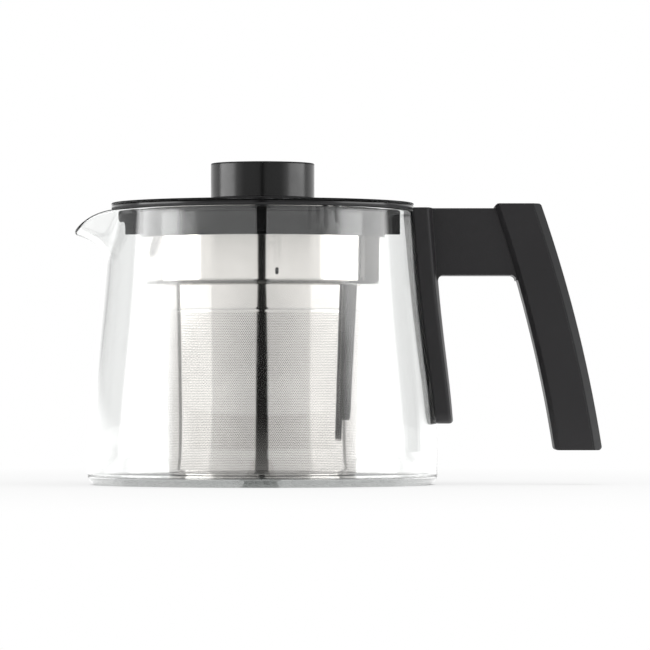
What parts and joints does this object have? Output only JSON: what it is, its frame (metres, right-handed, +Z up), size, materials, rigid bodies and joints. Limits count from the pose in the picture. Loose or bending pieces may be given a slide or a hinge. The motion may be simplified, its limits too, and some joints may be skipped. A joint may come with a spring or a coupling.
{
  "type": "glass teapot",
  "caption": "Conical glass teapot of a tea maker with pouring lip, lift-out steel infuser, flat black knobbed lid and a black handle open at the bottom.",
  "frame": {"origin": "centre of the glass underside, on the pot's axis, where it stands", "axes": "+Z up along the pot's axis, +X towards the handle, the spout towards -X"},
  "size_m": [0.2315, 0.1522, 0.1394],
  "materials": {
    "clear_glass": "clear borosilicate, fire polished",
    "bond_adhesive": "translucent silicone adhesive",
    "black_plastic": "fine satin texture",
    "grip_cover_plastic": "fine satin texture",
    "gloss_black_plastic": "smooth semi-gloss",
    "screw_steel": "plain stainless",
    "insert_brass": "turned",
    "black_silicone": "matt",
    "grey_silicone": "matt",
    "polished_steel": "mirror polished stainless",
    "perforated_steel": "fine perforated stainless, satin"
  },
  "bodies": {
    "jug": {"glass_jug": "clear_glass", "bond_pad": "bond_adhesive", "handle_bracket": "black_plastic", "grip_core": "black_plastic", "grip_back": "grip_cover_plastic", "grip_screws": "screw_steel", "grip_inserts": "insert_brass"},
    "infuser": {"rim_gasket": "black_silicone", "infuser_ring": "gloss_black_plastic", "infuser_collar": "polished_steel", "basket_sleeve": "perforated_steel", "basket_base": "perforated_steel"},
    "lid": {"lid_plate": "gloss_black_plastic", "lid_spigot": "black_plastic", "lid_seal": "grey_silicone", "lid_liner": "black_plastic", "knob_base": "black_plastic", "knob_shell": "gloss_black_plastic", "knob_insert": "insert_brass", "knob_washer": "grey_silicone", "knob_screw": "screw_steel"}
  },
  "joints": [
    {"name": "infuser_lift", "type": "slide", "parent": "jug", "child": "infuser", "axis": [0, 0, 1], "range_m": [0, 0.14]},
    {"name": "lid_lift", "type": "slide", "parent": "infuser", "child": "lid", "axis": [0, 0, 1], "range_m": [0, 0.06]}
  ]
}
